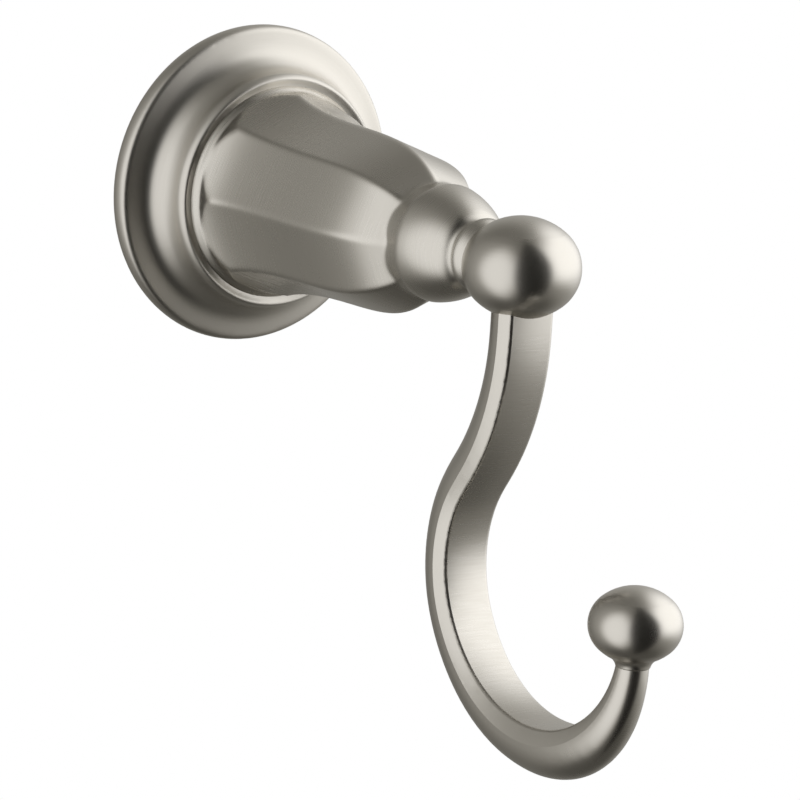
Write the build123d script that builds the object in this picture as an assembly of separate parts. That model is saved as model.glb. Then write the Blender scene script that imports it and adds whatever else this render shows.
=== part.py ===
from build123d import *
import os
from math import asin, atan, atan2, cos, hypot, radians, sin, sqrt, tan

# Wall hook with a concealed fixing. Lengths are in millimetres.
# The wall is the plane Y = 0, the hook stands out along -Y and +Z is up.
# The origin is the middle of the rosette's back. "h" below is the distance from the wall.

# Fits
SLIDE_FIT = 0.10          # each side, between a key and its socket
THREAD_FIT = 0.05         # radial, between a screw and its tapped hole
POINT_FIT = 0.05          # between the grub screw's point and the groove it bears in

# Rosette, turned about the post's axis
ROSETTE_R = 31.8          # widest, on the rim
RIM_TUCK = 0.7            # the rim draws in this much at the wall
RIM_WIDEST_H = 1.7
RIM_CREST_H = 4.35
RIM_CREST_IN = 0.6        # crest of the rim, in from the widest line
RIM_W = 3.05              # rim, out to the foot of the cove
RIM_FALL = 0.45           # crest of the rim down to the foot of the cove
RIM_BULGE = 0.12          # roundness of the rim between crest and cove
RIM_ROUND = 1.15          # radius over the crest
RIM_VALLEY = 1.6          # radius in the valley between rim and cove
VALLEY_SHARE = 0.6        # most of the rim's inner face that this rounding may take
RIM_LAND = 2.0            # flat that bears on the wall
COLLAR_R = 23.7           # top of the cove
COLLAR_H = 11.5
LIP_H = 1.8               # rounded lip above the cove
LIP_IN = 0.9
LIP_BULGE = 0.2
LIP_GROOVE = 0.25         # shadow groove between lip and post
SHELL_T = 2.0             # wall of the hollow rosette
SEAT_H = 12.2             # face that the post stands on
WEB_T = 2.6
SOCKET_SIDE = 24.0        # square recess in the post that keys it to the rosette
SOCKET_CORNER = 3.0
SOCKET_DEEP = 1.6
SPIGOT_HIGH = 1.4

# Post: eight flats, then turned mouldings in front of them
FLATS = 8
BASE_RING_R = 21.5
BASE_RING_H = 0.4
BASE_ROUND_H = 1.45
BASE_BULGE = 0.1
BASE_R = 20.2
FLARE_OUT = 1.0           # flats stand out past the base this much at the seat
FLARE_L = 1.9             # seat to the tips of the scallops
RIDGE_L = 3.95            # scallop tips to where the ridges begin
HOLLOW_L = 5.95
WAIST_L = 14.0
BELLY_L = 9.0
SHOULDER_L = 8.0
NOSE_L = 11.6
RIDGE_A = 18.66           # distance of a flat from the axis, at each of those places
HOLLOW_A = 17.42
WAIST_A = 16.5
BELLY_A = 16.32
SHOULDER_A = 15.5
NOSE_A = 10.2
RIDGE_ROUND = 0.9         # radius along the ridges
NECK_R = 11.25            # shallow groove behind the bell, which the flats run into
NECK_BACK_R = 11.5        # start of the neck, inside the flats
NECK_BACK_L = 5.0
NECK_L = 3.4              # end of the flats to the rim of the bell
RING_R = 11.7             # rim of the bell
RING_ROUND = 0.7
BELL_L = 9.2
BELL_BULGE = 0.5
BELL_END_R = 8.2          # where the bell starts to turn in
TUCK_R = 6.2              # foot of the bell, behind the second ring
TUCK_L = 1.9
TUCK_ROUND = 0.5
COLLAR_RING_R = 7.4       # second ring, in front of the ball
COLLAR_ROUND = 0.4
COLLAR_RING_L = 1.9
TIP_R = 5.9
TIP_L = 3.4
TIP_DIP = 0.15
CORE_R = 11.6             # cored from the back
CORE_NOSE_R = 9.0
CORE_L = 44.0

# Arm: ball, bevelled strap and knob in one casting
BALL_R = 11.63            # across
BALL_RISE = 10.0          # half its height
BALL_DEEP = 9.35          # ball's centre in front of the seat
KEY_SIDE = 6.4            # square key behind the ball
KEY_L = 3.6
KEY_END_GAP = 0.2
KEY_ROOT = 1.0            # key is rooted this far in the ball
STRAP_BACK = 0.25         # strap's middle line behind the ball's centre
STRAP_TOP = 4.0           # strap begins this far below the ball's centre
DROP_L = 8.1              # straight fall out of the ball
SWING_R = 47.0            # bend towards the wall
SWING = 36.5              # degrees
RUN_L = 3.8
CROOK_R = 27.1            # bend away from the wall
CROOK = 63.5
BOWL_R = 35.8             # flatter bend through the bottom
BOWL = 70.0
UPTURN_R = 24.6           # tighter bend up to the knob
UPTURN = 84.0
RISE_L = 5.0              # end of the bend up to the knob's centre
STRAP_W = 9.8             # front face, between its two ridges
STRAP_T = 9.8
CROWN = 0.25
BEVEL_OUT = 1.28
BEVEL_DEEP = 2.46
BEVEL_BULGE = 0.10
STRAP_SOFT = 0.45         # ridges of the strap are rounded over this much of each face
BOTTOM_T = 10.4           # at the bottom of the hook
BOTTOM_BEVEL = 3.2
STEM_R = 3.0              # round stem under the knob
STEM_RIDGE = 50.0         # degrees from the front to where the ridges have died out
STEM_EARLY = 6.0          # degrees before the last bend where the strap starts to turn round
STEM_LATE = 9.0           # degrees past that bend where it would be fully round
KNOB_R = 9.16
KNOB_RISE = 7.5
OVAL_FULL = 1.06          # how much fuller than an ellipse the ball and knob are at their sides
FOOT_TOP_R = 4.3          # knob's hollow foot, at the knob and at the stem
FOOT_R = 3.35
FOOT_L = 1.5
FOOT_DIP = 0.15
FOOT_SUNK = 1.0           # knob's foot tapers this far into the stem

# Tie screw and its washer
SCREW_R = 2.0
SCREW_CLEAR = 0.3
SCREW_GRIP = 10.5         # screw inside the ball
TAP_OVER = 2.0
HEAD_R = 3.5
HEAD_H = 2.9
HEAD_ROUND = 0.5
HEAD_BULGE = 0.12
SCREW_POINT = 0.6
DRIVE_AF = 3.0
DRIVE_DEEP = 1.7
WASHER_R = 3.7
WASHER_T = 1.0
WASHER_GAP = 0.2          # washer's hole, clear of the screw
WASHER_SPLIT = 0.7

# Wall bracket and grub screw
BRACKET_R = 23.6
BRACKET_T = 4.0
BRACKET_BORE_R = 8.0
BRACKET_HOLE_PITCH = 32.0
BRACKET_HOLE_R = 2.3
BRACKET_SINK_R = 4.2
GROOVE_H = 1.9
GROOVE_DEEP = 1.2
GROOVE_HALF = 1.2
GRUB_R = 1.5
GRUB_SUNK = 0.45          # outer end below the rim
GRUB_AF = 1.5
GRUB_DRIVE = 2.0
BOSS_W = 8.0              # boss inside the rim for the grub screw
BOSS_H = 4.2
BOSS_IN_R = 25.4

TURNING = Plane(origin=(0, 0, 0), x_dir=(1, 0, 0), z_dir=(0, 0, -1))
SLACK = 40.0              # reach of a cutting or trimming solid past the piece


def turned(*edges, rounds=()):
    """Solid of revolution about the post's axis from a closed outline drawn as (radius, h).

    Each of rounds is a corner of the outline and the radius that it gets.
    """
    outline = make_face(Curve() + list(edges))
    for corner, radius in rounds:
        outline = fillet(outline.vertices().sort_by_distance(corner)[0], radius)
    return revolve(TURNING * outline, Axis.Y)


def disc(radius, start_h, end_h):
    """Round solid about the post's axis between two distances from the wall."""
    return turned(Polyline((0, start_h), (radius, start_h), (radius, end_h), (0, end_h), close=True))


def dipped(start, end, dip):
    """Arc between two points, bowed to the left of the way from start to end by dip."""
    length = hypot(end[0] - start[0], end[1] - start[1])
    middle = ((start[0] + end[0]) / 2 - dip * (end[1] - start[1]) / length,
              (start[1] + end[1]) / 2 + dip * (end[0] - start[0]) / length)
    return ThreePointArc(start, middle, end)


def square_prism(side, start_h, end_h, corner):
    """Square solid about the post's axis between two distances from the wall."""
    across = Plane(origin=(0, -start_h, 0), x_dir=(1, 0, 0), z_dir=(0, -1, 0))
    return extrude(across * RectangleRounded(side, side, corner), end_h - start_h)


def make_rosette():
    foot = (ROSETTE_R - RIM_W, RIM_CREST_H - RIM_FALL)
    crest = (ROSETTE_R - RIM_CREST_IN, RIM_CREST_H)
    top = (COLLAR_R, COLLAR_H)
    reach = foot[0] - top[0]
    fall = top[1] - foot[1]
    cove_r = (reach ** 2 + fall ** 2) / (2 * reach)
    middle = (top[0] + cove_r, top[1])
    inner_r = cove_r + SHELL_T
    web_back = SEAT_H - WEB_T
    land_h = foot[1] - SHELL_T
    low = asin((top[1] - land_h) / inner_r)
    high = asin((top[1] - web_back) / inner_r)
    inside = []
    for a in (low, (low + high) / 2, high):
        inside.append((middle[0] - inner_r * cos(a), middle[1] - inner_r * sin(a)))
    land_r = ROSETTE_R - RIM_TUCK - RIM_LAND
    lip = (COLLAR_R - LIP_IN, COLLAR_H + LIP_H)
    rim_face = hypot(crest[0] - foot[0], RIM_FALL)
    rim_turn = asin(RIM_FALL / rim_face) + 2 * atan(2 * RIM_BULGE / rim_face) + atan2(cove_r - reach, fall)
    valley = min(RIM_VALLEY, VALLEY_SHARE * rim_face / tan(rim_turn / 2))
    body = turned(
        ThreePointArc((ROSETTE_R - RIM_TUCK, 0), (ROSETTE_R, RIM_WIDEST_H), crest),
        dipped(crest, foot, -RIM_BULGE),
        TangentArc(top, foot, tangent=(0, -1)),
        dipped(top, lip, -LIP_BULGE),
        Line(lip, (BASE_RING_R + LIP_GROOVE, SEAT_H)),
        Line((BASE_RING_R + LIP_GROOVE, SEAT_H), (0, SEAT_H)),
        Line((0, SEAT_H), (0, web_back)),
        Line((0, web_back), inside[2]),
        ThreePointArc(*inside),
        Line(inside[0], (land_r, land_h / 2)),
        Line((land_r, land_h / 2), (land_r, 0)),
        Line((land_r, 0), (ROSETTE_R - RIM_TUCK, 0)),
        rounds=((crest, RIM_ROUND), (foot, valley)),
    )
    filled = turned(
        ThreePointArc((ROSETTE_R - RIM_TUCK, 0), (ROSETTE_R, RIM_WIDEST_H), crest),
        dipped(crest, foot, -RIM_BULGE),
        TangentArc(top, foot, tangent=(0, -1)),
        Line(top, (0, COLLAR_H)),
        Line((0, COLLAR_H), (0, 0)),
        Line((0, 0), (ROSETTE_R - RIM_TUCK, 0)),
        rounds=((crest, RIM_ROUND), (foot, valley)),
    )
    boss = Pos(0, -BOSS_H / 2, -(BOSS_IN_R + ROSETTE_R) / 2) * Box(BOSS_W, BOSS_H, ROSETTE_R - BOSS_IN_R)
    body += boss & filled
    spigot_side = SOCKET_SIDE - 2 * SLIDE_FIT
    body += square_prism(spigot_side, SEAT_H, SEAT_H + SPIGOT_HIGH, SOCKET_CORNER - SLIDE_FIT)
    body -= disc(SCREW_R + SCREW_CLEAR, 0, SEAT_H + SLACK)
    under = Plane(origin=(0, -GROOVE_H, 0), x_dir=(1, 0, 0), z_dir=(0, 0, -1))
    body -= extrude(under * Circle(GRUB_R + THREAD_FIT), ROSETTE_R + SLACK)
    return body


def flat_places():
    """(distance of the flat from the axis, h) along the eight-sided part, from its foot to its nose."""
    lengths = (FLARE_L, RIDGE_L, HOLLOW_L, WAIST_L, BELLY_L, SHOULDER_L, NOSE_L)
    apothems = (BASE_R, RIDGE_A, HOLLOW_A, WAIST_A, BELLY_A, SHOULDER_A, NOSE_A)
    return [(a, SEAT_H + sum(lengths[:i + 1])) for i, a in enumerate(apothems)]


def post_end():
    """Distance of the post's front face from the wall."""
    return flat_places()[-1][1] + NECK_L + BELL_L + TUCK_L + COLLAR_RING_L + TIP_L


def eight_flats():
    """Eight-sided body with rounded ridges, from the seat to the nose."""
    places = [(BASE_R + FLARE_OUT, SEAT_H)] + flat_places()
    outline = Spline(*places)
    other = Spline(*[(-a, h) for a, h in places])
    band = make_face(Curve() + [
        outline, other,
        Line(outline @ 0, other @ 0),
        Line(outline @ 1, other @ 1),
    ])
    slabs = []
    for pair in range(FLATS // 2):
        way = radians(360 * (pair + 0.5) / FLATS)
        across = Plane(origin=(0, 0, 0), x_dir=(cos(way), 0, sin(way)), z_dir=(sin(way), 0, -cos(way)))
        slabs.append(extrude(across * band, SLACK, both=True))
    body = slabs[0]
    for slab in slabs[1:]:
        body &= slab
    return fillet(body.edges().filter_by(GeomType.LINE, reverse=True), RIDGE_ROUND)


def make_post():
    nose_h = flat_places()[-1][1]
    base_h = SEAT_H + BASE_RING_H
    round_h = base_h + BASE_ROUND_H
    body = turned(
        Polyline((0, nose_h), (0, SEAT_H), (BASE_RING_R, SEAT_H), (BASE_RING_R, base_h)),
        dipped((BASE_RING_R, base_h), (BASE_R, round_h), -BASE_BULGE),
        Polyline((BASE_R, round_h), (BASE_R, nose_h), (0, nose_h)),
    )
    body &= eight_flats() + disc(BASE_RING_R, SEAT_H, round_h)

    back_h = nose_h - NECK_BACK_L
    ring_h = nose_h + NECK_L
    bell_h = ring_h + BELL_L
    tuck_h = bell_h + TUCK_L
    collar_h = tuck_h + COLLAR_RING_L
    tip_h = collar_h + TIP_L
    bell = dipped((RING_R, ring_h), (BELL_END_R, bell_h), -BELL_BULGE)
    body += turned(
        Line((0, back_h), (NECK_BACK_R, back_h)),
        ThreePointArc((NECK_BACK_R, back_h), (NECK_R, nose_h), (RING_R, ring_h)),
        bell,
        TangentArc((BELL_END_R, bell_h), (TUCK_R, tuck_h), tangent=bell % 1),
        Line((TUCK_R, tuck_h), (COLLAR_RING_R, collar_h)),
        dipped((COLLAR_RING_R, collar_h), (TIP_R, tip_h), TIP_DIP),
        Polyline((TIP_R, tip_h), (0, tip_h), (0, back_h)),
        rounds=(((RING_R, ring_h), RING_ROUND), ((TUCK_R, tuck_h), TUCK_ROUND),
                ((COLLAR_RING_R, collar_h), COLLAR_ROUND)),
    )
    body -= square_prism(SOCKET_SIDE, SEAT_H, SEAT_H + SOCKET_DEEP, SOCKET_CORNER)
    body -= turned(Polyline((0, SEAT_H), (CORE_R, SEAT_H), (CORE_NOSE_R, SEAT_H + CORE_L),
                            (0, SEAT_H + CORE_L), close=True))
    body -= disc(SCREW_R + SCREW_CLEAR, SEAT_H, tip_h)
    body -= square_prism(KEY_SIDE + 2 * SLIDE_FIT, tip_h - KEY_L - KEY_END_GAP, tip_h, SLIDE_FIT)
    return body


def bent(place, radius, degrees):
    """Where a bend ends, from (y, z, degrees from straight down). Positive turns go towards the wall."""
    y, z, turn = place
    start = radians(turn)
    end = radians(turn + degrees)
    side = radius if degrees > 0 else -radius
    return (y + side * (cos(start) - cos(end)), z - side * (sin(end) - sin(start)), turn + degrees)


def moved(place, length):
    """Where a straight run ends."""
    y, z, turn = place
    return (y + length * sin(radians(turn)), z - length * cos(radians(turn)), turn)


def strap_path():
    """Places down the strap: (y, z, degrees from straight down, positive towards the wall)."""
    top = (-(post_end() + BALL_DEEP - STRAP_BACK), -STRAP_TOP, 0.0)
    path = [top, moved(top, DROP_L / 2), moved(top, DROP_L)]
    bends = (
        (SWING_R, SWING, 5, RUN_L),
        (CROOK_R, -CROOK, 6, 0),
        (BOWL_R, -BOWL, 6, 0),
        (UPTURN_R, -UPTURN, 8, 0),
    )
    for radius, degrees, steps, run in bends:
        start = path[-1]
        path += [bent(start, radius, degrees * (step + 1) / steps) for step in range(steps)]
        if run:
            path.append(moved(path[-1], run))
    path.append(moved(path[-1], RISE_L))
    return path


def eased(value, start, end):
    """0 before start, 1 after end, and a soft change between."""
    part = min(1.0, max(0.0, (value - start) / (end - start)))
    return part * part * (3 - 2 * part)


def strap_section(y, z, turn):
    """Outline across the strap: crowned front, two bevels, rounded back."""
    bend_end = CROOK + BOWL - SWING
    bottom = eased(-turn, CROOK - SWING, bend_end)
    stem = eased(-turn, bend_end - STEM_EARLY, bend_end + UPTURN + STEM_LATE)
    ridge = radians(STEM_RIDGE)

    def blend(strap, low, tip):
        return (strap + (low - strap) * bottom) * (1 - stem) + tip * stem

    thick = blend(STRAP_T, BOTTOM_T, 2 * STEM_R)
    half = blend(STRAP_W, STRAP_W, 2 * STEM_R * sin(ridge)) / 2
    crown = blend(CROWN, CROWN, STEM_R * (1 - cos(ridge)))
    out = blend(BEVEL_OUT, BEVEL_OUT, STEM_R * (1 - sin(ridge)))
    deep = blend(BEVEL_DEEP, BOTTOM_BEVEL, STEM_R * cos(ridge))
    bulge = blend(BEVEL_BULGE, BEVEL_BULGE, STEM_R * (1 - cos((radians(90) - ridge) / 2)))
    front = thick / 2
    ridge_y = front - crown
    wide = half + out
    wide_y = ridge_y - deep
    back = front + wide_y
    front_r = (half ** 2 + crown ** 2) / (2 * crown)
    soft_x = half - STRAP_SOFT
    soft_y = front - front_r + sqrt(front_r ** 2 - soft_x ** 2)
    bevel_l = hypot(out, deep)

    def on_bevel(part, side):
        bow = 4 * bulge * part * (1 - part) / bevel_l
        return (side * (half + out * part + deep * bow), ridge_y - deep * part + out * bow)

    soft = STRAP_SOFT / bevel_l
    edges = [ThreePointArc((-soft_x, soft_y), (0, front), (soft_x, soft_y))]
    for side in (1, -1):
        edges.append(Bezier((side * soft_x, soft_y), (side * half, ridge_y), on_bevel(soft, side)))
        edges.append(ThreePointArc(on_bevel(soft, side), on_bevel((soft + 1) / 2, side), on_bevel(1, side)))
    edges.append(EllipticalCenterArc((0, wide_y), wide, back, start_angle=180, arc_size=180))
    a = radians(turn)
    across = Plane(origin=(0, y, z), x_dir=(1, 0, 0), z_dir=(0, sin(a), -cos(a)))
    return across * make_face(Curve() + edges)


def end_arc(across, rise, start_x, side):
    """Arc over the top (side 1) or bottom (side -1) of a flattened ball, from start_x to its axis."""
    end_r = oval(across, rise)[0]
    points = []
    for x in (start_x, start_x / 2, 0):
        points.append((x, side * (rise - end_r + sqrt(end_r ** 2 - x ** 2))))
    return ThreePointArc(*points)


def oval(across, rise):
    """Flattened ball's outline: radius of its end arcs, and the place where they meet the side arc."""
    side_r = OVAL_FULL * rise ** 2 / across
    end_r = ((across - side_r) ** 2 + rise ** 2 - side_r ** 2) / (2 * (rise - side_r))
    reach = side_r / (end_r - side_r)
    return end_r, (across - side_r) * (1 + reach), (end_r - rise) * reach


def flattened_ball(y):
    """Ball at the end of the post, flattened from above and below."""
    upright = Plane(origin=(0, y, 0), x_dir=(1, 0, 0), z_dir=(0, -1, 0))
    _, meet_x, meet_y = oval(BALL_R, BALL_RISE)
    shape = make_face(Curve() + [
        end_arc(BALL_R, BALL_RISE, meet_x, 1),
        ThreePointArc((meet_x, meet_y), (BALL_R, 0), (meet_x, -meet_y)),
        end_arc(BALL_R, BALL_RISE, meet_x, -1),
        Line((0, BALL_RISE), (0, -BALL_RISE)),
    ])
    return revolve(upright * shape, Axis((0, y, 0), (0, 0, 1)))


def knob(y, z):
    """Flattened knob with a short hollow foot that takes the stem."""
    upright = Plane(origin=(0, y, z), x_dir=(1, 0, 0), z_dir=(0, -1, 0))
    end_r, meet_x, meet_y = oval(KNOB_R, KNOB_RISE)
    under = []
    for x in (meet_x, (meet_x + FOOT_TOP_R) / 2, FOOT_TOP_R):
        under.append((x, end_r - KNOB_RISE - sqrt(end_r ** 2 - x ** 2)))
    foot = (FOOT_R, under[2][1] - FOOT_L)
    inside = (FOOT_R - FOOT_SUNK, foot[1] - FOOT_SUNK)
    shape = make_face(Curve() + [
        end_arc(KNOB_R, KNOB_RISE, meet_x, 1),
        ThreePointArc((meet_x, meet_y), (KNOB_R, 0), under[0]),
        ThreePointArc(*under),
        dipped(under[2], foot, -FOOT_DIP),
        Polyline(foot, inside, (0, inside[1]), (0, KNOB_RISE)),
    ])
    return revolve(upright * shape, Axis((0, y, z), (0, 0, 1)))


def make_hook_arm():
    seat = post_end()
    path = strap_path()
    strap = loft([strap_section(*place) for place in path])
    body = strap + knob(path[-1][0], path[-1][1]) + flattened_ball(-(seat + BALL_DEEP))
    body -= Pos(0, -seat + SLACK / 2, 0) * Box(SLACK, SLACK, 2 * BALL_RISE)
    body += square_prism(KEY_SIDE, seat - KEY_L, seat + KEY_ROOT, SLIDE_FIT)
    body -= disc(SCREW_R + THREAD_FIT, seat - SLACK, seat + SCREW_GRIP + TAP_OVER)
    return body


def make_tie_screw():
    under_head = SEAT_H - WEB_T - WASHER_T
    head_end = under_head - HEAD_H
    round_h = head_end + HEAD_ROUND
    end_h = post_end() + SCREW_GRIP
    body = turned(
        Polyline((0, head_end), (HEAD_R - HEAD_ROUND, head_end)),
        dipped((HEAD_R - HEAD_ROUND, head_end), (HEAD_R, round_h), -HEAD_BULGE),
        Polyline((HEAD_R, round_h), (HEAD_R, under_head), (SCREW_R, under_head),
                 (SCREW_R, end_h - SCREW_POINT), (SCREW_R - SCREW_POINT, end_h), (0, end_h), (0, head_end)),
    )
    drive = Plane(origin=(0, -head_end, 0), x_dir=(1, 0, 0), z_dir=(0, -1, 0))
    body -= extrude(drive * RegularPolygon(DRIVE_AF / 2, 6, major_radius=False), DRIVE_DEEP)
    return body


def make_lock_washer():
    front_h = SEAT_H - WEB_T
    ring = disc(WASHER_R, front_h - WASHER_T, front_h) - disc(SCREW_R + WASHER_GAP, 0, front_h)
    return ring - Pos(0, -front_h, WASHER_R) * Box(WASHER_SPLIT, SLACK, 2 * WASHER_R)


def make_wall_bracket():
    body = turned(Polyline(
        (BRACKET_BORE_R, 0), (BRACKET_R, 0), (BRACKET_R, GROOVE_H - GROOVE_HALF),
        (BRACKET_R - GROOVE_DEEP, GROOVE_H), (BRACKET_R, GROOVE_H + GROOVE_HALF), (BRACKET_R, BRACKET_T),
        (BRACKET_BORE_R, BRACKET_T), close=True))
    for side in (-1, 1):
        hole = Plane(origin=(side * BRACKET_HOLE_PITCH / 2, 0, 0), x_dir=(1, 0, 0), z_dir=(0, -1, 0))
        body -= extrude(hole * Circle(BRACKET_HOLE_R), BRACKET_T)
        sink = BRACKET_SINK_R - BRACKET_HOLE_R
        cone = Cone(BRACKET_HOLE_R, BRACKET_SINK_R, sink, align=(Align.CENTER, Align.CENTER, Align.MAX))
        body -= hole * (Pos(0, 0, BRACKET_T) * cone)
    return body


def make_set_screw():
    out_r = ROSETTE_R - GRUB_SUNK
    point_r = BRACKET_R - GROOVE_DEEP + POINT_FIT * 2
    slope = GROOVE_DEEP / GROOVE_HALF
    axis_plane = Plane(origin=(0, -GROOVE_H, 0), x_dir=(1, 0, 0), z_dir=(0, -1, 0))
    shape = make_face(Polyline(
        (0, -point_r), (GRUB_R, -(point_r + GRUB_R * slope)), (GRUB_R, -out_r), (0, -out_r), close=True))
    body = revolve(axis_plane * shape, Axis((0, -GROOVE_H, 0), (0, 0, 1)))
    drive = Plane(origin=(0, -GROOVE_H, -out_r), x_dir=(1, 0, 0), z_dir=(0, 0, 1))
    return body - extrude(drive * RegularPolygon(GRUB_AF / 2, 6, major_radius=False), GRUB_DRIVE)


PIECES = {
    "rosette": make_rosette,
    "post": make_post,
    "hook_arm": make_hook_arm,
    "wall_bracket": make_wall_bracket,
    "set_screw": make_set_screw,
    "tie_screw": make_tie_screw,
    "lock_washer": make_lock_washer,
}

os.makedirs("parts", exist_ok=True)
for node, make in PIECES.items():
    piece = make()
    print(node, round(piece.volume), "mm3", len(piece.solids()), "solid")
    export_step(piece, f"parts/{node}.step")
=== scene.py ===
"""Wall hook in satin nickel: finishes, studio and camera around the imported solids.

Lengths are metres in the part's own frame: the wall is the plane Y = 0, the hook stands out along -Y
and +Z is up. Bearings are degrees round the upright axis, from -Y towards +X.
"""

import logging
import math
from dataclasses import dataclass
from enum import Enum
from typing import Any, Mapping, Union

import bmesh
import bpy
from mathutils import Matrix, Vector


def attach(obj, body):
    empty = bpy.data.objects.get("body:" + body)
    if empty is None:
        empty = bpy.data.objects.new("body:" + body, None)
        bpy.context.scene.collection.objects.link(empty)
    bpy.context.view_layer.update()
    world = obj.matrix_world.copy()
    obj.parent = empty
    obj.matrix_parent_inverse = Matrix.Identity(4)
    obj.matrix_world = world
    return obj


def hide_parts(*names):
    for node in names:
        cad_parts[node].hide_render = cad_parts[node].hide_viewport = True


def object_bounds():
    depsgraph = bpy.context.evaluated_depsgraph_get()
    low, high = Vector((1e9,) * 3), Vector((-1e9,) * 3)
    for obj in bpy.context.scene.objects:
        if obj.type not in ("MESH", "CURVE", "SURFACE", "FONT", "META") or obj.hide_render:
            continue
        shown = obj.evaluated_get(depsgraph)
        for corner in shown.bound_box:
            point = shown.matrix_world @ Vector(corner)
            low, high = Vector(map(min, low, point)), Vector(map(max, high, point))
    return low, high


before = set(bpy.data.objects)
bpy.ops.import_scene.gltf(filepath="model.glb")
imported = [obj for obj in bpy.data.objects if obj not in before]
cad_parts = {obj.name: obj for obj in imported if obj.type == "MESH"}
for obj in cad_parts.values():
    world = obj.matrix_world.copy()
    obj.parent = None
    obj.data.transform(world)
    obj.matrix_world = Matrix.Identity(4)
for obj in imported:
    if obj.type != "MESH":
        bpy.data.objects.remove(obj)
CAD_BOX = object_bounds()

MM = 0.001
NOISE_MIDDLE = 0.5
LOG = logging.getLogger("wall_hook")

Colour = tuple[float, float, float]


class Signal:
    """Output of a shader node that Python operators can combine."""

    def __init__(self, graph: "Graph", socket: bpy.types.NodeSocket) -> None:
        """Keep the socket and the graph that it belongs to."""
        self.graph = graph
        self.socket = socket

    def maths(self, operation: str, *values: "Operand") -> "Signal":
        """Add one Math node.

        Args:
            operation: Blender's name for the operation.
            values: Its operands, in order.

        Returns:
            The node's value.
        """
        return self.graph.add("ShaderNodeMath", {"operation": operation}, dict(enumerate(values)))["Value"]

    def __add__(self, other: "Operand") -> "Signal":
        """Sum of two values."""
        return self.maths("ADD", self, other)

    def __radd__(self, other: "Operand") -> "Signal":
        """Sum with a number on the left."""
        return self.maths("ADD", other, self)

    def __sub__(self, other: "Operand") -> "Signal":
        """Difference of two values."""
        return self.maths("SUBTRACT", self, other)

    def __rsub__(self, other: "Operand") -> "Signal":
        """Difference with a number on the left."""
        return self.maths("SUBTRACT", other, self)

    def __mul__(self, other: "Operand") -> "Signal":
        """Product of two values."""
        return self.maths("MULTIPLY", self, other)

    def __rmul__(self, other: "Operand") -> "Signal":
        """Product with a number on the left."""
        return self.maths("MULTIPLY", other, self)

    def __truediv__(self, other: "Operand") -> "Signal":
        """Quotient of two values."""
        return self.maths("DIVIDE", self, other)

    def __rtruediv__(self, other: "Operand") -> "Signal":
        """Quotient with a number on the left."""
        return self.maths("DIVIDE", other, self)

    def __pow__(self, other: "Operand") -> "Signal":
        """Power of a value."""
        return self.maths("POWER", self, other)

    def clamped(self) -> "Signal":
        """Value held between 0 and 1."""
        return self.graph.add("ShaderNodeClamp", {}, {"Value": self})["Result"]


Operand = Union[Signal, float]
SocketValue = Union[Signal, float, tuple]


class Node:
    """Shader node whose outputs come back as signals."""

    def __init__(self, graph: "Graph", node: bpy.types.Node) -> None:
        """Keep the node and the graph that it belongs to."""
        self.graph = graph
        self.node = node

    def __getitem__(self, output: Union[str, int]) -> Signal:
        """One of the node's outputs, by name or number."""
        return Signal(self.graph, self.node.outputs[output])


class Graph:
    """Node tree of one material or of the world."""

    def __init__(self, owner: Union[bpy.types.Material, bpy.types.World]) -> None:
        """Start an empty tree on its owner."""
        owner.use_nodes = True
        self.tree = owner.node_tree
        self.tree.nodes.clear()

    def add(self, kind: str, settings: Mapping[str, Any], sockets: Mapping[Any, SocketValue]) -> Node:
        """Add a node of any type.

        Args:
            kind: Blender's type name.
            settings: Properties, set first.
            sockets: Inputs by name or number, as plain values or signals.

        Returns:
            The node, wrapped.
        """
        node = self.tree.nodes.new(kind)
        for key, value in settings.items():
            setattr(node, key, value)
        for key, value in sockets.items():
            if isinstance(value, Signal):
                self.tree.links.new(value.socket, node.inputs[key])
            else:
                node.inputs[key].default_value = value
        return Node(self, node)

    def eased(self, value: Signal, start: float, end: float) -> Signal:
        """Soft step.

        Args:
            value: What is stepped.
            start: Where the result leaves 0.
            end: Where it reaches 1. It may lie below start.

        Returns:
            0 to 1.
        """
        rising = end > start
        sockets = {
            "Value": value,
            "From Min": min(start, end),
            "From Max": max(start, end),
            "To Min": float(not rising),
            "To Max": float(rising),
        }
        return self.add("ShaderNodeMapRange", {"interpolation_type": "SMOOTHSTEP"}, sockets)["Result"]

    def mixed(self, share: Operand, first: SocketValue, second: SocketValue) -> Signal:
        """Blend two colours.

        Args:
            share: How much of the second colour shows.
            first: Colour at 0.
            second: Colour at 1.

        Returns:
            The blended colour.
        """
        node = self.add("ShaderNodeMix", {"data_type": "RGBA"}, {0: share, 6: first, 7: second})
        return node[2]


class Grain(Enum):
    """Which way the fine polishing lines run."""

    TURNED = "rings round the post's axis"
    ROUND_POST = "straight across the post's flats"
    ACROSS_STRAP = "straight across the strap, none on ball and knob"
    LOOSE = "no direction"


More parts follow.
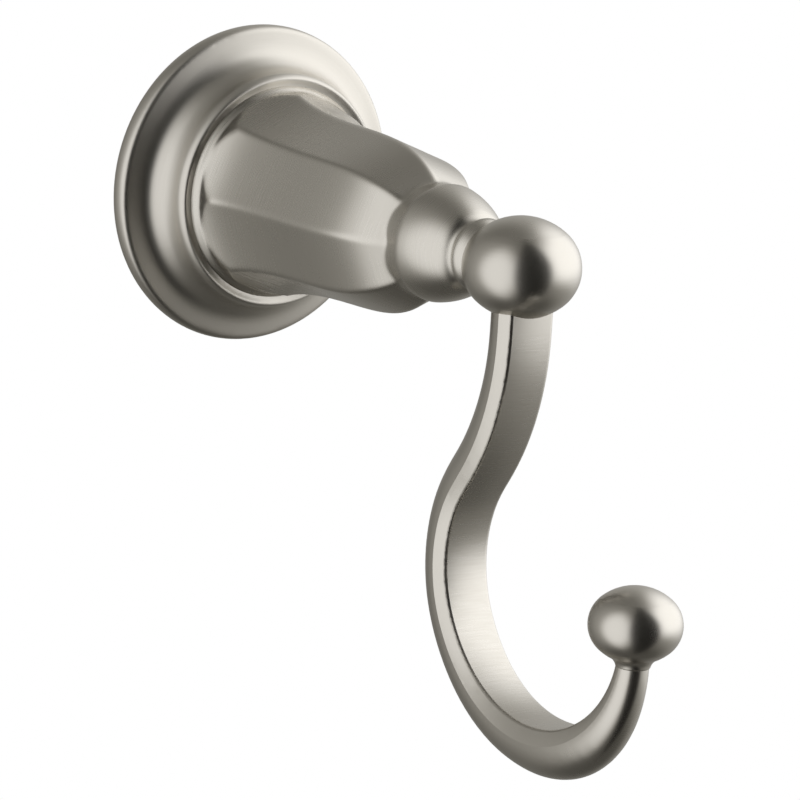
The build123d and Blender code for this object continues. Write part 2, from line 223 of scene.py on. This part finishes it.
@dataclass(frozen=True)
class MetalFinish:
    """Bare or plated metal with fine polishing lines."""

    name: str
    colour: Colour
    deep_colour: Colour
    roughness: float
    grain: Grain
    line_pitch: float
    line_length: float
    line_depth: float
    line_tone: float
    edge_round: float = 0.0
    round_samples: int = 16
    line_roughness: float = 0.06
    line_detail: float = 2.0
    cloud_size: float = 18.0 * MM
    cloud_tone: float = 0.3
    cloud_roughness: float = 0.04
    middle_tone: float = 0.4
    ball_below: float = -10.0 * MM
    strap_below: float = -14.0 * MM
    knob_front: float = -126.0 * MM
    knob_foot: float = -72.0 * MM
    knob_fade: float = 6.0 * MM
    side_from: float = 0.35
    side_full: float = 0.6

    def grain_place(self, graph: Graph, place: Node) -> Signal:
        """Coordinates stretched along the polishing lines.

        Args:
            graph: The material's node tree.
            place: Separated coordinates on the object.

        Returns:
            A vector whose noise comes out as lines.
        """
        across = 1.0 / self.line_pitch
        along = 1.0 / self.line_length
        x, y, z = place["X"], place["Y"], place["Z"]
        if self.grain is Grain.TURNED:
            radius = (x * x + z * z) ** 0.5
            parts = (radius * across, y * across, (x + z) * along)
        elif self.grain is Grain.ROUND_POST:
            parts = (x * along, y * across, z * along)
        elif self.grain is Grain.ACROSS_STRAP:
            parts = (x * along, y * across, z * across)
        else:
            parts = (x * across, y * across, z * across)
        return graph.add("ShaderNodeCombineXYZ", {}, dict(zip("XYZ", parts)))["Vector"]

    def brushed_share(self, graph: Graph, place: Node) -> Operand:
        """How much the polishing lines show at a place.

        Args:
            graph: The material's node tree.
            place: Separated coordinates on the object.

        Returns:
            1 where they show fully, 0 on the ball, the knob and the strap's sides.
        """
        if self.grain is not Grain.ACROSS_STRAP:
            return 1.0
        off_ball = graph.eased(place["Z"], self.ball_below, self.strap_below)
        before_knob = graph.eased(place["Y"], self.knob_front, self.knob_front + self.knob_fade)
        below_knob = graph.eased(place["Z"], self.knob_foot, self.knob_foot - self.knob_fade)
        off_knob = 1.0 - (1.0 - before_knob) * (1.0 - below_knob)
        facing = graph.add("ShaderNodeNewGeometry", {}, {})["Normal"]
        sideways = graph.add("ShaderNodeSeparateXYZ", {}, {"Vector": facing})["X"]
        off_sides = graph.eased((sideways * sideways) ** 0.5, self.side_full, self.side_from)
        return off_ball * off_knob * off_sides

    def material(self) -> bpy.types.Material:
        """Build the finish as a material.

        Returns:
            The new material.
        """
        made = bpy.data.materials.new(self.name)
        graph = Graph(made)
        where = graph.add("ShaderNodeTexCoord", {}, {})["Object"]
        place = graph.add("ShaderNodeSeparateXYZ", {}, {"Vector": where})
        noise = graph.add(
            "ShaderNodeTexNoise", {},
            {"Vector": self.grain_place(graph, place), "Scale": 1.0, "Detail": self.line_detail},
        )
        lines = (noise["Fac"] - NOISE_MIDDLE) * self.brushed_share(graph, place)
        cloud_noise = graph.add("ShaderNodeTexNoise", {}, {"Vector": where, "Scale": 1.0 / self.cloud_size})
        cloud = cloud_noise["Fac"] - NOISE_MIDDLE
        tone = (lines * self.line_tone + cloud * self.cloud_tone + self.middle_tone).clamped()
        colour = graph.mixed(tone, (*self.colour, 1.0), (*self.deep_colour, 1.0))
        roughness = lines * self.line_roughness + cloud * self.cloud_roughness + self.roughness
        relief = {"Strength": 1.0, "Distance": self.line_depth, "Height": lines}
        if self.edge_round:
            settings = {"samples": self.round_samples}
            soft = graph.add("ShaderNodeBevel", settings, {"Radius": self.edge_round})
            relief["Normal"] = soft["Normal"]
        normal = graph.add("ShaderNodeBump", {}, relief)
        shader = graph.add(
            "ShaderNodeBsdfPrincipled", {},
            {"Base Color": colour, "Metallic": 1.0, "Roughness": roughness, "Normal": normal["Normal"]},
        )
        graph.add("ShaderNodeOutputMaterial", {}, {"Surface": shader["BSDF"]})
        return made


def dress_node(node: str, finish: MetalFinish) -> None:
    """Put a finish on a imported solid.

    Args:
        node: The solid's node name.
        finish: The finish that replaces its plain material.
    """
    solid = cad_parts[node]
    name = finish.name
    made = bpy.data.materials.get(name) or finish.material()
    solid.data.materials.clear()
    solid.data.materials.append(made)
    LOG.info("%s wears %s", node, name)


def new_object(name: str, mesh: bmesh.types.BMesh) -> bpy.types.Object:
    """Make an object of a finished bmesh, at the origin.

    Args:
        name: Object name.
        mesh: The bmesh, which is freed.

    Returns:
        The linked object.
    """
    data = bpy.data.meshes.new(name)
    mesh.to_mesh(data)
    mesh.free()
    made = bpy.data.objects.new(name, data)
    bpy.context.scene.collection.objects.link(made)
    return made


def towards(bearing: float, height: float) -> Vector:
    """Unit vector at a bearing and a height above the horizon, both in degrees."""
    turn, lift = math.radians(bearing), math.radians(height)
    return Vector((math.sin(turn) * math.cos(lift), -math.cos(turn) * math.cos(lift), math.sin(lift)))


NICKEL: Colour = (0.68, 0.655, 0.605)
NICKEL_DEEP: Colour = (0.60, 0.57, 0.515)


@dataclass
class RosetteBody:
    """Rosette whose rim rises as one shallow cone from its crest to the cove.

    The groove round the post's foot is only a shallow crease.
    """

    crest_radius: float = 30.75 * MM
    crest_height: float = 4.3 * MM
    cove_radius: float = 23.8 * MM
    foot_round: float = 1.1 * MM
    rise: float = 11.1
    groove_radius: float = 21.9 * MM
    groove_width: float = 0.4 * MM
    groove_above: float = 12.0 * MM
    groove_height: float = 13.0 * MM
    front_facing: float = 0.5
    merge: float = 0.001 * MM
    sharp: float = 30.0

    def build(self) -> bpy.types.Object:
        """Raise the rim's valley and the groove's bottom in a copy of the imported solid.

        Returns:
            The piece, which stands for the solid.
        """
        mesh = bmesh.new()
        mesh.from_mesh(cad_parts["rosette"].data)
        bmesh.ops.remove_doubles(mesh, verts=mesh.verts, dist=self.merge)
        mesh.normal_update()
        band = [vert for vert in mesh.verts if self.on_band(vert)]
        for vert in band:
            vert.co.y = -self.raised(-vert.co.y, self.radius(vert))
        for vert in mesh.verts:
            if self.in_groove(vert):
                vert.co.y = -self.groove_height
        for face in mesh.faces:
            face.smooth = True
        for edge in mesh.edges:
            edge.smooth = edge.calc_face_angle(0.0) < math.radians(self.sharp)
        body = new_object("rosette_body", mesh)
        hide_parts("rosette")
        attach(body, "root")
        LOG.info("rosette_body stands for rosette, %d points raised", len(band))
        return body

    def radius(self, vert: bmesh.types.BMVert) -> float:
        """Distance of a point from the post's axis."""
        return math.hypot(vert.co.x, vert.co.z)

    def on_band(self, vert: bmesh.types.BMVert) -> bool:
        """Whether a point lies on the front between the cove and the crest."""
        inside = self.cove_radius < self.radius(vert) < self.crest_radius
        return inside and vert.normal.y < -self.front_facing

    def in_groove(self, vert: bmesh.types.BMVert) -> bool:
        """Whether a point lies at the bottom of the groove round the post's foot."""
        near_lip = self.groove_radius - self.groove_width < self.radius(vert) < self.groove_radius
        return near_lip and -vert.co.y > self.groove_above

    def raised(self, height: float, radius: float) -> float:
        """Height of the higher of the solid and the cone, with the foot of the cove rounded.

        Args:
            height: The solid's height above the wall.
            radius: Distance from the post's axis.

        Returns:
            The height to use.
        """
        inward = self.crest_radius - radius
        cone = self.crest_height + inward * math.tan(math.radians(self.rise))
        rounding = self.foot_round * inward / (self.crest_radius - self.cove_radius)
        return (height + cone + math.hypot(height - cone, rounding)) / 2


@dataclass
class HookBody:
    """The three plated castings that show: rosette, post and arm."""

    roughness: float = 0.28
    turned_roughness: float = 0.36
    turned_pitch: float = 0.25 * MM
    turned_tone: float = 0.3
    turned_depth: float = 0.0002 * MM
    strap_pitch: float = 0.32 * MM
    strap_tone: float = 1.2
    strap_depth: float = 0.0009 * MM
    line_length: float = 7.0 * MM
    rim_round: float = 0.8 * MM
    ridge_round: float = 1.8 * MM

    def smooth(self, name: str, grain: Grain, roughness: float, edge_round: float) -> MetalFinish:
        """Satin nickel whose polishing lines hardly show.

        Args:
            name: Material name.
            grain: The way that the lines run.
            roughness: How soft the reflections are.
            edge_round: How far polishing has softened the edges.

        Returns:
            The finish.
        """
        return MetalFinish(
            name, NICKEL, NICKEL_DEEP, roughness, grain,
            self.turned_pitch, self.line_length, self.turned_depth, self.turned_tone, edge_round,
        )

    def brushed(self, name: str) -> MetalFinish:
        """Satin nickel with clear lines across the strap.

        Args:
            name: Material name.

        Returns:
            The finish.
        """
        return MetalFinish(
            name, NICKEL, NICKEL_DEEP, self.roughness, Grain.ACROSS_STRAP,
            self.strap_pitch, self.line_length, self.strap_depth, self.strap_tone,
        )

    def dress(self) -> None:
        """Give each casting its finish."""
        turned = self.smooth("satin_nickel_turned", Grain.TURNED, self.turned_roughness, self.rim_round)
        flats = self.smooth("satin_nickel_flats", Grain.ROUND_POST, self.roughness, self.ridge_round)
        RosetteBody().build().data.materials.append(turned.material())
        dress_node("post", flats)
        dress_node("hook_arm", self.brushed("satin_nickel_strap"))


@dataclass
class Fixing:
    """What is hidden behind the rosette: bracket, screws and washer."""

    bracket_zinc: MetalFinish = MetalFinish(
        "bracket_zinc", (0.52, 0.53, 0.54), (0.42, 0.43, 0.45), roughness=0.42, grain=Grain.LOOSE,
        line_pitch=1.6 * MM, line_length=1.6 * MM, line_depth=0.004 * MM, line_tone=0.9,
    )
    screw_zinc: MetalFinish = MetalFinish(
        "screw_zinc", (0.46, 0.46, 0.47), (0.36, 0.36, 0.37), roughness=0.36, grain=Grain.TURNED,
        line_pitch=0.12 * MM, line_length=4.0 * MM, line_depth=0.002 * MM, line_tone=0.6,
    )

    def dress(self) -> None:
        """Give the steel pieces their zinc finishes."""
        dress_node("wall_bracket", self.bracket_zinc)
        for node in ("set_screw", "tie_screw", "lock_washer"):
            dress_node(node, self.screw_zinc)


@dataclass(frozen=True)
class Glow:
    """Soft oval of light or shade round the set, in degrees."""

    bearing: float
    height: float
    half_width: float
    half_height: float
    softness: float
    level: float
    corners: float = 2.0

    def share(self, graph: Graph, bearing: Signal, height: Signal) -> Signal:
        """How fully a direction lies in the oval.

        Args:
            graph: The dome's node tree.
            bearing: Bearing of the direction, in radians.
            height: Its height, in radians.

        Returns:
            1 inside, 0 outside, and a soft change at the edge.
        """
        aside = bearing.maths("WRAP", bearing - math.radians(self.bearing), math.pi, -math.pi)
        aside = aside / math.radians(self.half_width)
        over = (height - math.radians(self.height)) / math.radians(self.half_height)
        power = self.corners / 2
        reach = ((aside * aside) ** power + (over * over) ** power) ** (1 / self.corners)
        return graph.eased(reach, 1.0 + self.softness, 1.0 - self.softness)


@dataclass
class Dome:
    """Lights and dark cards of a product photograph, which only reflections see."""

    radius: float = 1.6
    shade_tint: Colour = (1.05, 1.0, 0.86)
    light_tint: Colour = (1.0, 1.0, 1.0)
    low_level: float = 0.085
    side_level: float = 0.17
    high_level: float = 0.185
    low_heights: tuple[float, float] = (-68.0, -38.0)
    high_heights: tuple[float, float] = (42.0, 64.0)
    subdivisions: int = 4
    left_halo: Glow = Glow(-100.0, 5.0, half_width=62.0, half_height=55.0, softness=0.45, level=0.36)
    left_light: Glow = Glow(-82.0, -4.0, half_width=38.0, half_height=51.0, softness=0.40, level=1.05)
    right_halo: Glow = Glow(85.0, 18.0, half_width=78.0, half_height=52.0, softness=0.50, level=0.50)
    right_light: Glow = Glow(
        71.0, 23.0, half_width=50.0, half_height=38.0, softness=0.40, level=1.5, corners=3.0,
    )
    dark_front: Glow = Glow(-12.0, 0.0, half_width=36.0, half_height=90.0, softness=0.12, level=0.010)

    def glows(self) -> tuple[Glow, ...]:
        """Ovals in the order that they cover each other."""
        return self.left_halo, self.left_light, self.right_halo, self.right_light, self.dark_front

    def build(self, centre: Vector) -> None:
        """Put the dome round the set.

        Args:
            centre: Middle of the set.
        """
        mesh = bmesh.new()
        bmesh.ops.create_icosphere(
            mesh, subdivisions=self.subdivisions, radius=self.radius, matrix=Matrix.Translation(centre),
        )
        dome = new_object("studio_dome", mesh)
        dome.data.materials.append(self.material(centre))
        for ray in ("camera", "diffuse", "transmission", "volume_scatter", "shadow"):
            setattr(dome, f"visible_{ray}", False)

    def material(self, centre: Vector) -> bpy.types.Material:
        """Glow of every direction round the set.

        Args:
            centre: Middle of the set.

        Returns:
            The new material.
        """
        made = bpy.data.materials.new("studio_dome")
        graph = Graph(made)
        where = graph.add("ShaderNodeTexCoord", {}, {})["Object"]
        from_centre = {0: where, 1: tuple(centre)}
        out = graph.add("ShaderNodeVectorMath", {"operation": "SUBTRACT"}, from_centre)["Vector"]
        place = graph.add("ShaderNodeSeparateXYZ", {}, {"Vector": out})
        x, y, z = place["X"], place["Y"], place["Z"]
        bearing = x.maths("ARCTAN2", x, 0.0 - y)
        height = z.maths("ARCTAN2", z, (x * x + y * y) ** 0.5)
        low = graph.eased(height, *(math.radians(end) for end in self.low_heights))
        high = graph.eased(height, *(math.radians(end) for end in self.high_heights))
        level = self.low_level + low * (self.side_level - self.low_level)
        level = level + high * (self.high_level - self.side_level)
        for glow in self.glows():
            share = glow.share(graph, bearing, height)
            level = level * (1.0 - share) + share * glow.level
        tint = graph.mixed((level ** 0.5).clamped(), (*self.shade_tint, 1.0), (*self.light_tint, 1.0))
        glow = graph.add("ShaderNodeEmission", {}, {"Color": tint, "Strength": level})["Emission"]
        graph.add("ShaderNodeOutputMaterial", {}, {"Surface": glow})
        return made


@dataclass
class Studio:
    """Pale floor, white surround, one large softbox and the dome that reflections see."""

    floor_drop: float = 5.0
    floor_radius: float = 8.0
    floor_segments: int = 96
    floor_colour: Colour = (0.94, 0.94, 0.935)
    surround_level: float = 1.0
    room_level: float = 1.05
    key_level: float = 0.8
    key_bearing: float = 72.0
    key_height: float = 22.0
    key_distance: float = 0.88
    key_size: tuple[float, float] = (1.14, 0.94)

    def build(self, centre: Vector) -> None:
        """Set up floor, surround, softbox and dome.

        Args:
            centre: Middle of the object.
        """
        self.floor(centre)
        self.surround()
        self.key(centre)
        Dome().build(centre)
        LOG.info("studio is set")

    def floor(self, centre: Vector) -> None:
        """Round pale floor well below the hook.

        Args:
            centre: Middle of the object.
        """
        mesh = bmesh.new()
        place = Matrix.Translation((centre.x, centre.y, -self.floor_drop))
        bmesh.ops.create_circle(
            mesh, cap_ends=True, segments=self.floor_segments, radius=self.floor_radius, matrix=place,
        )
        floor = new_object("floor", mesh)
        made = bpy.data.materials.new("pale_floor")
        graph = Graph(made)
        paint = graph.add("ShaderNodeBsdfDiffuse", {}, {"Color": (*self.floor_colour, 1.0)})["BSDF"]
        graph.add("ShaderNodeOutputMaterial", {}, {"Surface": paint})
        floor.data.materials.append(made)

    def surround(self) -> None:
        """White to the camera and in reflections, even soft light elsewhere."""
        world = bpy.data.worlds.new("surround")
        bpy.context.scene.world = world
        graph = Graph(world)
        path = graph.add("ShaderNodeLightPath", {}, {})
        seen = (path["Is Camera Ray"] + path["Is Glossy Ray"] + path["Is Transmission Ray"]).clamped()
        white = (1.0, 1.0, 1.0, 1.0)
        backdrop = graph.add("ShaderNodeBackground", {}, {"Color": white, "Strength": self.surround_level})
        room = graph.add("ShaderNodeBackground", {}, {"Color": white, "Strength": self.room_level})
        mixed = graph.add(
            "ShaderNodeMixShader", {}, {0: seen, 1: room["Background"], 2: backdrop["Background"]}
        )
        graph.add("ShaderNodeOutputWorld", {}, {"Surface": mixed["Shader"]})

    def key(self, centre: Vector) -> None:
        """Large softbox to the right of the camera.

        Args:
            centre: Middle of the object.
        """
        lamp = bpy.data.lights.new("softbox", "AREA")
        lamp.shape = "ELLIPSE"
        lamp.size, lamp.size_y = self.key_size
        lamp.energy = self.key_level * math.pi * (math.pi / 4) * lamp.size * lamp.size_y
        holder = bpy.data.objects.new("softbox", lamp)
        out = towards(self.key_bearing, self.key_height)
        holder.location = centre + self.key_distance * out
        holder.rotation_euler = (-out).to_track_quat("-Z", "Y").to_euler()
        holder.visible_camera = False
        holder.visible_glossy = False
        bpy.context.scene.collection.objects.link(holder)


@dataclass
class PhotoCamera:
    """Camera at the photograph's viewing angle."""

    bearing: float = -35.46
    height: float = 11.23
    roll: float = 3.42
    distance: float = 1957.44 * MM
    target: tuple[float, float, float] = (0.0, -58.12 * MM, -33.41 * MM)
    lens: float = 450.0
    sensor: float = 36.0
    clip_end: float = 50.0

    def build(self) -> None:
        """Place the camera and make it the scene's own."""
        data = bpy.data.cameras.new("photo_camera")
        data.lens = self.lens
        data.sensor_width = self.sensor
        data.clip_end = self.clip_end
        camera = bpy.data.objects.new("photo_camera", data)
        back = towards(self.bearing, self.height)
        right = Vector((0.0, 0.0, 1.0)).cross(back).normalized()
        up = back.cross(right)
        tilt = math.radians(self.roll)
        leaning_right = math.cos(tilt) * right + math.sin(tilt) * up
        leaning_up = math.cos(tilt) * up - math.sin(tilt) * right
        turn = Matrix((leaning_right, leaning_up, back)).transposed()
        place = Vector(self.target) + self.distance * back
        camera.matrix_world = Matrix.Translation(place) @ turn.to_4x4()
        bpy.context.scene.collection.objects.link(camera)
        bpy.context.scene.camera = camera


def main() -> None:
    """Dress the solids, then set the studio and the camera."""
    logging.basicConfig(level=logging.INFO, format="%(message)s")
    bpy.context.scene.view_settings.view_transform = "Standard"
    HookBody().dress()
    Fixing().dress()
    low, high = CAD_BOX
    Studio().build((low + high) / 2)
    PhotoCamera().build()


if __name__ == "__main__":
    main()
